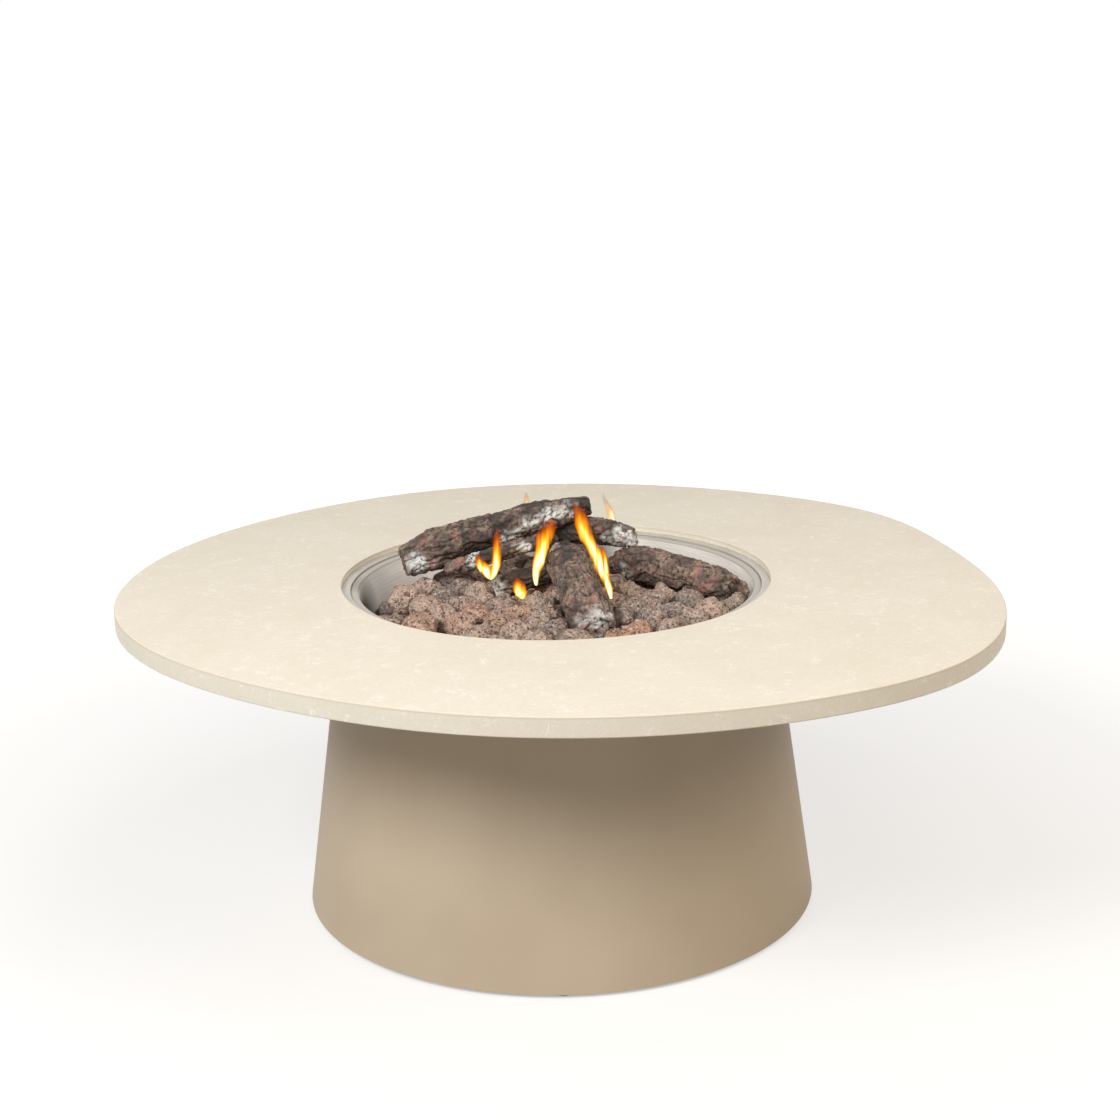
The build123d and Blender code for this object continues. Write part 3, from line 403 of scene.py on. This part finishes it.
VEIN_SIZES_AND_WIDTHS = ((0.04, 0.01), (0.018, 0.012))
FLECKS_PER_METRE = 90.0
ARRIS_SHADE_BAND = 0.002
cream_stone = new_finish("cream_stone")
clouds = shade(cream_stone, grain(cream_stone, 0.13), colour(231, 225, 210), colour(237, 231, 218))
dust = level(cream_stone, grain(cream_stone, 0.004, detail=2.0), 0.0, 0.4)
stone_tone = over(cream_stone, dust, clouds, colour(224, 215, 197))
vein_patches = level(cream_stone, grain(cream_stone, 0.022, detail=3.0), 0.0, 1.0, 0.53, 0.62)
for size, width in VEIN_SIZES_AND_WIDTHS:
    veins = times(cream_stone, hairlines(cream_stone, size, width), vein_patches)
    stone_tone = over(cream_stone, veins, stone_tone, colour(255, 252, 246))
from_fleck = cells(cream_stone, FLECKS_PER_METRE)["Distance"]
flecks = times(cream_stone, level(cream_stone, from_fleck, 0.9, 0.0, 0.04, 0.12), vein_patches)
stone_tone = over(cream_stone, flecks, stone_tone, colour(252, 248, 240))
height = height_on(cream_stone)
slab_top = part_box("table_top")[1][2]
# Painted shade on the arris band, just below the top face.
on_arris = level(cream_stone, height, 1.0, 0.0, slab_top - ARRIS_SHADE_BAND / 6, slab_top - ARRIS_SHADE_BAND / 40)
off_edge = level(cream_stone, height, 0.0, 1.0, slab_top - 2 * ARRIS_SHADE_BAND, slab_top - ARRIS_SHADE_BAND)
arris_shade = times(cream_stone, on_arris, off_edge)
stone_tone = over(cream_stone, arris_shade, stone_tone, colour(222, 212, 195))
coat(cream_stone, {
    "Base Color": stone_tone,
    "Roughness": level(cream_stone, grain(cream_stone, 0.01), 0.5, 0.62),
    "Specular IOR Level": 0.3,
    "Normal": relief(cream_stone, grain(cream_stone, 0.0015, detail=2.0), 0.00002),
})
dress(cream_stone, "table_top")


# Lava rocks: crushed volcanic stone heaped over the burner, knobbly and full of pores.
# They are brown grey, some of them redder, and lie loose, each where its CAD solid does.
MERGE_REACH = 0.00001
FLAT_ANGLE = radians(2)


def merged_copy(name):
    """A CAD node as a closed mesh with its flat faces whole, because its own mesh is loose triangles."""
    shape = bmesh.new()
    shape.from_mesh(nodes[name].data)
    bmesh.ops.remove_doubles(shape, verts=shape.verts, dist=MERGE_REACH)
    bmesh.ops.dissolve_limit(shape, angle_limit=FLAT_ANGLE, verts=shape.verts, edges=shape.edges)
    return shape


def stones_of(shape):
    """The separate stones of a mesh, each as a list of its vertices in the mesh's order."""
    shape.verts.index_update()
    left = set(shape.verts)
    while left:
        stone, edge = set(), {left.pop()}
        while edge:
            stone |= edge
            edge = {e.other_vert(v) for v in edge for e in v.link_edges} & left
            left -= edge
        yield sorted(stone, key=lambda v: v.index)


def roughen(made, kind, size, height, middle):
    """Push a surface out and in by a procedural texture, not at all where its tone is in the middle."""
    texture = bpy.data.textures.new(f"{made.name}_{kind.lower()}", kind)
    texture.noise_scale = size
    push = made.modifiers.new(kind.lower(), "DISPLACE")
    push.texture, push.texture_coords, push.strength, push.mid_level = texture, "LOCAL", height, middle


PORES_PER_METRE = 300.0
SECOND_DRAW = 7.31
lava = new_finish("lava_rock")
each_rock = add_node(lava, "NewGeometry", {}).outputs["Random Per Island"]
rock_tone = shade(lava, each_rock, colour(134, 122, 116), colour(188, 164, 148), 0.0, 1.0)
second_draw = reckon(lava, "FRACT", times(lava, each_rock, SECOND_DRAW))
red_rocks = level(lava, second_draw, 0.0, 0.7, 0.7, 1.0)
rock_tone = over(lava, red_rocks, rock_tone, colour(198, 144, 114))
pink_patches = level(lava, grain(lava, 0.016), 0.0, 0.5, 0.5, 0.68)
rock_tone = over(lava, pink_patches, rock_tone, colour(190, 146, 134))
bright_grit = level(lava, grain(lava, 0.004, detail=6.0), 0.0, 0.8, 0.5, 0.64)
rock_tone = over(lava, bright_grit, rock_tone, colour(212, 195, 182))
dark_grit = level(lava, grain(lava, 0.006, detail=6.0), 0.8, 0.0, 0.36, 0.48)
rock_tone = over(lava, dark_grit, rock_tone, colour(66, 54, 49))
from_pore = cells(lava, PORES_PER_METRE)["Distance"]
# Painted shade darkens the pores, in their pits.
rock_tone = over(lava, level(lava, from_pore, 0.85, 0.0, 0.12, 0.3), rock_tone, colour(44, 35, 32))
grit = relief(lava, grain(lava, 0.003, detail=6.0), 0.002)
coat(lava, {
    "Base Color": rock_tone,
    "Roughness": level(lava, grain(lava, 0.006), 0.85, 0.98),
    "Normal": relief(lava, level(lava, from_pore, 0.0, 1.0, 0.1, 0.4), 0.0015, under=grit),
})
TOP_LAYER_HEIGHT = 0.41
LAYER_ROUNDINGS = {"upper_left": 3, "upper_right": 3, "lower": 2}
ROCK_SHRINK = 0.96


def layer_of(middle):
    """Layer that a rock lies in: the lower one, or the left or right half of the upper one."""
    if middle.z < TOP_LAYER_HEIGHT:
        return "lower"
    return "upper_left" if middle.x < 0 else "upper_right"


def rounded(made, levels):
    """Round a piece off with this many levels of subdivision."""
    rounding = made.modifiers.new("rounding", "SUBSURF")
    rounding.levels = rounding.render_levels = levels


for layer, levels in LAYER_ROUNDINGS.items():
    bed = merged_copy("lava_rocks")
    for stone in list(stones_of(bed)):
        middle = sum((v.co for v in stone), Vector()) / len(stone)
        if layer_of(middle) == layer:
            at_origin = Matrix.Translation(-middle)
            bmesh.ops.scale(bed, verts=stone, vec=Vector((ROCK_SHRINK,) * 3), space=at_origin)
        else:
            bmesh.ops.delete(bed, geom=stone, context="VERTS")
    rocks = make_piece(f"lava_rocks_{layer}", bed, lava, "table")
    rounded(rocks, levels)
    roughen(rocks, "VORONOI", size=0.016, height=-0.006, middle=0.25)
    roughen(rocks, "CLOUDS", size=0.005, height=0.004, middle=0.6)
    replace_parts(rocks, "lava_rocks")


# Ceramic logs: six moulded refractory logs stacked over the fire, notched where they cross.
# Their bark is black brown with a pink tint, charred darker in places, darkened by painted shade where the
# logs shade each other, and cracked along and across.
# White ash lies on their ends and where the flames lick them. A spot is a place and a radius.
ASH_SPOTS = {
    "log_top": (
        (-0.186, -0.006, 0.464, 0.023), (-0.072, 0.034, 0.492, 0.01), (-0.05, 0.038, 0.499, 0.012),
        (-0.028, 0.044, 0.507, 0.014), (-0.006, 0.05, 0.515, 0.016), (0.014, 0.055, 0.523, 0.017),
    ),
    "log_cross": ((0.104, 0.05, 0.484, 0.02), (0.084, 0.05, 0.49, 0.016)),
    "log_front": ((0.05, -0.205, 0.447, 0.019), (-0.002, -0.03, 0.5, 0.01)),
    "log_small": ((-0.086, -0.032, 0.44, 0.018),),
    "log_under": ((-0.046, -0.02, 0.496, 0.01), (-0.11, -0.002, 0.478, 0.008)),
    "log_right": ((0.1, 0.03, 0.445, 0.012),),
}
# Dark spots, each a place and a radius: partly real char, and partly painted shade where the logs shade each
# other, as under log_top and on log_under.
CHAR_AND_SHADE_SPOTS = {
    "log_top": (
        (-0.03, 0.07, 0.53, 0.03), (0.02, 0.08, 0.535, 0.03), (-0.08, 0.05, 0.51, 0.024),
        (-0.1, 0.025, 0.482, 0.036), (0.045, 0.085, 0.52, 0.03),
    ),
    "log_cross": ((0.03, 0.08, 0.49, 0.035), (0.06, 0.06, 0.48, 0.02)),
    "log_front": ((0.0, -0.03, 0.5, 0.03), (0.012, -0.07, 0.5, 0.024)),
    "log_small": ((-0.03, -0.012, 0.445, 0.035),),
    "log_under": ((-0.09, -0.01, 0.48, 0.03), (-0.02, -0.02, 0.49, 0.03)),
    "log_right": ((0.09, 0.05, 0.44, 0.02),),
}
SPOT_FADE = 1.4


def mark(finish, name):
    """Share that a piece's mesh carries under this name."""
    return add_node(finish, "Attribute", {}, attribute_name=name).outputs["Fac"]


charred = new_finish("charred_log")
speckle = grain(charred, 0.005, detail=6.0)
bark_tone = shade(charred, speckle, colour(48, 40, 36), colour(168, 146, 131), 0.36, 0.64)
pink = level(charred, grain(charred, 0.018, detail=6.0), 0.0, 0.7, 0.54, 0.64)
bark_tone = over(charred, pink, bark_tone, colour(178, 122, 113))
dark_patch = level(charred, grain(charred, 0.04), 0.0, 0.65, 0.5, 0.62)
bark_tone = over(charred, dark_patch, bark_tone, colour(64, 58, 55))
# Char and painted shade darken the bark where the mesh marks them.
char_and_shade = times(charred, mark(charred, "char_and_shade"), 0.85)
bark_tone = over(charred, char_and_shade, bark_tone, colour(50, 45, 43))
bark_tone = over(charred, mark(charred, "crack"), bark_tone, colour(20, 16, 14))
flakes = level(charred, grain(charred, 0.006, detail=6.0), 0.0, 1.0, 0.38, 0.52)
ash = times(charred, mark(charred, "ash"), flakes)
bark_tone = over(charred, ash, bark_tone, colour(228, 232, 233))
coat(charred, {
    "Base Color": bark_tone,
    "Roughness": level(charred, grain(charred, 0.006), 0.7, 0.92),
    "Normal": relief(charred, grain(charred, 0.003, detail=6.0), 0.0016),
})


def smooth_step(value):
    """Smooth rise from 0 to 1 while the value rises from 0 to 1."""
    value = min(1.0, max(0.0, value))
    return value * value * (3 - 2 * value)


def patch(place, spots, warp):
    """Share of a patch at a place: whole inside any of its spots, and fading out round them."""
    return max(
        smooth_step(SPOT_FADE + (warp - (place - Vector(middle)).length) / radius)
        for *middle, radius in spots
    )


def crack_at(place, size, width):
    """Share of a crack at a place: whole along the middle contour of a noise, and none away from it."""
    return smooth_step(1 - abs(noise.noise(place / size)) / width)


BARK_SEED = 5
BARK_VOXEL = 0.0016
BARK_SMOOTHINGS = 3
BARK_DRAWN_OUT = 0.3
WANDER_SIZE, WANDER = 0.02, 0.006
FISSURE_SIZE, FISSURE_WIDTH, FISSURE_DEPTH, FISSURE_TONE = 0.014, 0.16, 0.003, 0.6
SPLIT_SIZE, SPLIT_WIDTH, SPLIT_DEPTH, SPLIT_TONE = 0.019, 0.08, 0.0015, 0.35
LUMP_SIZE, LUMP_HEIGHT, LUMP_FRACTAL = 0.03, 0.0024, (0.8, 2.0, 3)
CRUMB_SIZE, CRUMB_HEIGHT, CRUMB_FRACTAL = 0.006, 0.0015, (0.6, 2.2, 3)
RAGGED_SIZE, RAGGED = 0.012, 0.012
ceiling = cad_high[2] - 0.0002
noise.seed_set(BARK_SEED)
for name, spots in ASH_SPOTS.items():
    core = make_piece(name + "_core", merged_copy(name), charred, "table")
    grid = core.modifiers.new("grid", "REMESH")
    grid.mode, grid.voxel_size = "VOXEL", BARK_VOXEL
    fine = bpy.data.meshes.new_from_object(core.evaluated_get(bpy.context.evaluated_depsgraph_get()))
    bpy.data.objects.remove(core)
    log = bmesh.new()
    log.from_mesh(fine)
    bpy.data.meshes.remove(fine)
    for _ in range(BARK_SMOOTHINGS):
        bmesh.ops.smooth_vert(
            log, verts=log.verts, factor=0.5, use_axis_x=True, use_axis_y=True, use_axis_z=True
        )
    log.normal_update()
    far = max(log.verts, key=lambda v: v.co.x).co - min(log.verts, key=lambda v: v.co.x).co
    turn = far.to_track_quat("Z", "Y").to_matrix().transposed()
    crack_layer = log.verts.layers.float.new("crack")
    ash_layer = log.verts.layers.float.new("ash")
    char_and_shade_layer = log.verts.layers.float.new("char_and_shade")
    moves = []
    for v in log.verts:
        along = turn @ v.co
        along.z *= BARK_DRAWN_OUT
        wander = WANDER * noise.noise_vector(v.co / WANDER_SIZE)
        fissure = crack_at(along + wander, FISSURE_SIZE, FISSURE_WIDTH)
        split = crack_at(v.co + wander, SPLIT_SIZE, SPLIT_WIDTH)
        lumps = noise.fractal(along / LUMP_SIZE, *LUMP_FRACTAL)
        crumbs = noise.fractal(v.co / CRUMB_SIZE, *CRUMB_FRACTAL)
        raised = LUMP_HEIGHT * lumps + CRUMB_HEIGHT * crumbs
        moves.append(v.normal * (raised - FISSURE_DEPTH * fissure - SPLIT_DEPTH * split))
        v[crack_layer] = max(FISSURE_TONE * fissure, SPLIT_TONE * split)
        warp = RAGGED * noise.noise(v.co / RAGGED_SIZE)
        v[ash_layer] = patch(v.co, spots, warp)
        v[char_and_shade_layer] = patch(v.co, CHAR_AND_SHADE_SPOTS[name], 2 * warp)
    for v, move in zip(log.verts, moves):
        v.co += move
        v.co.z = min(v.co.z, ceiling)
    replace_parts(make_piece(name + "_bark", log, charred, "table"), name)


# Flames: flat tongues of burning gas that rise between the logs, yellow at heart and orange at the edges.
# Every ring of a tongue is a place and a half width, from the rocks up to the tip, where it thins out.
FLAMES = {
    "left_low": (
        (-0.087, -0.05, 0.46, 0.003), (-0.093, -0.05, 0.471, 0.006), (-0.097, -0.05, 0.479, 0.007),
        (-0.1, -0.05, 0.4875, 0.005), (-0.1035, -0.05, 0.496, 0.001),
    ),
    "left_tall": (
        (-0.087, -0.051, 0.46, 0.003), (-0.084, -0.051, 0.471, 0.006), (-0.0805, -0.051, 0.48, 0.008),
        (-0.0785, -0.051, 0.489, 0.0085), (-0.0775, -0.051, 0.499, 0.0065), (-0.077, -0.05, 0.51, 0.006),
        (-0.076, -0.05, 0.521, 0.005), (-0.0765, -0.05, 0.53, 0.001),
    ),
    "middle": (
        (-0.0265, -0.05, 0.45, 0.002), (-0.025, -0.05, 0.467, 0.005), (-0.0225, -0.05, 0.4815, 0.006),
        (-0.02, -0.05, 0.496, 0.0065), (-0.0155, -0.05, 0.511, 0.008), (-0.012, -0.05, 0.5235, 0.0095),
        (-0.0075, -0.05, 0.534, 0.0085), (-0.0055, -0.029, 0.5375, 0.002),
    ),
    "bud": (
        (-0.0445, -0.06, 0.435, 0.003), (-0.0455, -0.06, 0.443, 0.0075), (-0.047, -0.06, 0.451, 0.009),
        (-0.049, -0.06, 0.458, 0.008), (-0.0505, -0.06, 0.465, 0.002),
    ),
    "right": (
        (0.072, -0.106, 0.446, 0.002), (0.0675, -0.098, 0.462, 0.0055), (0.0635, -0.09, 0.4725, 0.007),
        (0.0575, -0.078, 0.484, 0.008), (0.0525, -0.062, 0.494, 0.0085), (0.0455, -0.045, 0.5045, 0.0075),
        (0.0405, -0.026, 0.5145, 0.0075), (0.036, -0.006, 0.524, 0.008), (0.033, 0.014, 0.5325, 0.0075),
        (0.0295, 0.034, 0.5365, 0.005), (0.028, 0.05, 0.538, 0.001),
    ),
    "right_side": (
        (0.0665, -0.093, 0.466, 0.005), (0.0665, -0.083, 0.481, 0.005), (0.0655, -0.073, 0.493, 0.004),
        (0.063, -0.067, 0.5025, 0.003), (0.0605, -0.063, 0.508, 0.001),
    ),
    "back_left": (
        (-0.0425, 0.112, 0.47, 0.01), (-0.0405, 0.112, 0.518, 0.0075), (-0.04, 0.112, 0.526, 0.005),
        (-0.0405, 0.112, 0.5345, 0.003), (-0.0405, 0.126, 0.538, 0.001),
    ),
    "back_right": (
        (0.08, 0.112, 0.47, 0.007), (0.078, 0.112, 0.501, 0.006), (0.0755, 0.112, 0.513, 0.005),
        (0.0715, 0.112, 0.523, 0.004), (0.068, 0.112, 0.537, 0.001),
    ),
}
FLAME_DEPTH = 0.5
FLAME_WIDTH = 1.35
FLAME_SIDES = 16
FLAME_ROUNDING = 3


def tongue(name, rings, finish):
    """Closed flat tongue: an oval extruded from ring to ring, and filled at both ends."""
    shape = bmesh.new()
    rings = [(*place, FLAME_WIDTH * size) for *place, size in rings]
    rise = shape.verts.layers.float.new("rise")
    across = shape.verts.layers.float.new("across")
    loop = bmesh.ops.create_circle(shape, segments=FLAME_SIDES, radius=1)["verts"]
    bmesh.ops.scale(shape, verts=loop, vec=Vector((rings[0][3], rings[0][3] * FLAME_DEPTH, 1)))
    bmesh.ops.translate(shape, verts=loop, vec=Vector(rings[0][:3]))
    edges = list(shape.edges)
    bmesh.ops.contextual_create(shape, geom=edges)
    for i, (*place, size) in enumerate(rings):
        if i:
            grown = bmesh.ops.extrude_edge_only(shape, edges=edges)["geom"]
            loop = [g for g in grown if isinstance(g, bmesh.types.BMVert)]
            sides = [g for g in grown if isinstance(g, bmesh.types.BMEdge)]
            edges = [e for e in sides if all(v in loop for v in e.verts)]
            *last_place, last_size = rings[i - 1]
            bmesh.ops.translate(shape, verts=loop, vec=-Vector(last_place))
            bmesh.ops.scale(shape, verts=loop, vec=Vector((size / last_size, size / last_size, 1)))
            bmesh.ops.translate(shape, verts=loop, vec=Vector(place))
        for v in loop:
            v[rise] = i / (len(rings) - 1)
            v[across] = (v.co.x - place[0]) / size
            v.co.z = min(v.co.z, ceiling)
    bmesh.ops.contextual_create(shape, geom=edges)
    bmesh.ops.recalc_face_normals(shape, faces=shape.faces)
    rounded(make_piece(name, shape, finish, "table"), FLAME_ROUNDING)


def flame_finish(name, strength, thickest):
    """Glow that is whitest at the heart of the tongue's foot, with soft edges and a thin red-orange top."""
    finish = new_finish(name)
    rise = mark(finish, "rise")
    waver = level(finish, grain(finish, 0.02, stretch=(1, 0.2, 0.5), detail=0.0), -0.25, 0.25)
    off = reckon(finish, "ABSOLUTE", reckon(finish, "ADD", mark(finish, "across"), waver))
    streaks = level(finish, grain(finish, 0.006, stretch=(1, 0.05, 0.1), detail=1.0), 0.65, 1.35)
    heart = times(finish, level(finish, off, 1.0, 0.0, 0.0, 1.0), streaks)
    heat = times(finish, heart, level(finish, rise, 1.0, 0.1, 0.3, 0.85))
    glow = shade(finish, heat, colour(176, 62, 4), colour(255, 140, 14), 0.04, 0.24)
    glow = over(finish, level(finish, heat, 0.0, 1.0, 0.24, 0.45), glow, colour(255, 206, 66))
    glow = over(finish, level(finish, heat, 0.0, 1.0, 0.45, 0.8), glow, colour(255, 246, 190))
    soft = level(finish, heart, 0.0, thickest, 0.08, 0.5)
    coat(finish, {
        "Base Color": (0, 0, 0, 1),
        "Specular IOR Level": 0.0,
        "Emission Color": glow,
        "Emission Strength": level(finish, heat, 0.8 * strength, 1.5 * strength, 0.1, 0.7),
        "Alpha": times(finish, soft, level(finish, rise, 1.0, 0.3, 0.5, 1.0)),
    })
    return finish


bright_flame = flame_finish("bright_flame", strength=1.15, thickest=1.0)
faint_flame = flame_finish("faint_flame", strength=1.0, thickest=0.35)
for name, rings in FLAMES.items():
    tongue("flame_" + name, rings, faint_flame if name.startswith("back") else bright_flame)


# Studio: a wide white floor that keeps the table's soft shadow, under three round soft lamps: a strong key
# from the upper left, a warm fill from the right and a weak one from above. The floor and the world are
# white to the camera and in reflections alone, and the camera stands at the photograph's height and distance.
FLOOR_REACH = 60
FLOOR_TONE = (0.37, 0.362, 0.35, 1)
WHITE = (1, 1, 1, 1)
UNDER_BASE = (0.33, 0.35)
SHADOW_REACH = (0.7, 2.6)
SHADOW_SHARE = 0.66


def seen_rays(finish):
    """1 for rays from the camera, straight or through a reflection or glass, and 0 for the rest."""
    rays = add_node(finish, "LightPath", {}).outputs
    seen = reckon(finish, "MAXIMUM", rays["Is Camera Ray"], rays["Is Glossy Ray"])
    return reckon(finish, "MAXIMUM", seen, rays["Is Transmission Ray"])


floor_shape = bmesh.new()
bmesh.ops.create_grid(floor_shape, x_segments=1, y_segments=1, size=FLOOR_REACH)
floor_mesh = bpy.data.meshes.new("floor")
floor_shape.to_mesh(floor_mesh)
floor_shape.free()
floor = bpy.data.objects.new("floor", floor_mesh)
scene.collection.objects.link(floor)
white_floor = new_finish("white_floor")
away = vectors(white_floor, "LENGTH", place_on(white_floor))["Value"]
white = times(white_floor, seen_rays(white_floor), level(white_floor, away, 0.0, 1.0, *UNDER_BASE))
white = times(white_floor, white, level(white_floor, away, SHADOW_SHARE, 1.0, *SHADOW_REACH))
coat(white_floor, {
    "Base Color": FLOOR_TONE,
    "Roughness": 1.0,
    "Specular IOR Level": 0.0,
    "Emission Color": WHITE,
    "Emission Strength": white,
})
floor_mesh.materials.append(white_floor)

AMBIENT = (0.232, 0.217, 0.2, 1)
world = bpy.data.worlds.new("studio")
world.use_nodes = True
scene.world = world
sky = over(world, seen_rays(world), AMBIENT, WHITE)
plug(world, world.node_tree.nodes["Background"], {"Color": sky})


def softbox(name, place, aim, size, power, tint):
    """Round soft lamp that points at a place."""
    lamp = bpy.data.lights.new(name, "AREA")
    lamp.shape, lamp.size, lamp.energy, lamp.color = "DISK", size, power, tint
    made = bpy.data.objects.new(name, lamp)
    made.location = place
    made.rotation_euler = (Vector(aim) - Vector(place)).to_track_quat("-Z", "Y").to_euler()
    scene.collection.objects.link(made)


softbox(
    "top", place=(0.7, -1.1, 3.2), aim=(0, -0.1, 0.4), size=2.2, power=20, tint=(1.0, 0.99, 0.97)
)
softbox(
    "key", place=(-2.1, -2.5, 2.75), aim=(0, 0, 0.3), size=1.6, power=117, tint=(1.0, 0.985, 0.955)
)
softbox(
    "fill", place=(2.8, -1.7, 2.6), aim=(0, 0, 0.3), size=1.8, power=50, tint=(1.0, 0.86, 0.68)
)

LENS = 64.22
SENSOR_WIDTH = 36
CAMERA_PLACE = (0.006, -2.611, 1.1818)
CAMERA_PITCH = 15.212
CAMERA_ROLL = 1.113
camera = bpy.data.cameras.new("camera")
camera.lens, camera.sensor_width = LENS, SENSOR_WIDTH
viewer = bpy.data.objects.new("camera", camera)
viewer.matrix_world = (
    Matrix.Translation(CAMERA_PLACE)
    @ Matrix.Rotation(radians(90 - CAMERA_PITCH), 4, "X")
    @ Matrix.Rotation(radians(-CAMERA_ROLL), 4, "Z")
)
scene.collection.objects.link(viewer)
scene.camera = viewer
scene.view_settings.view_transform = "Standard"
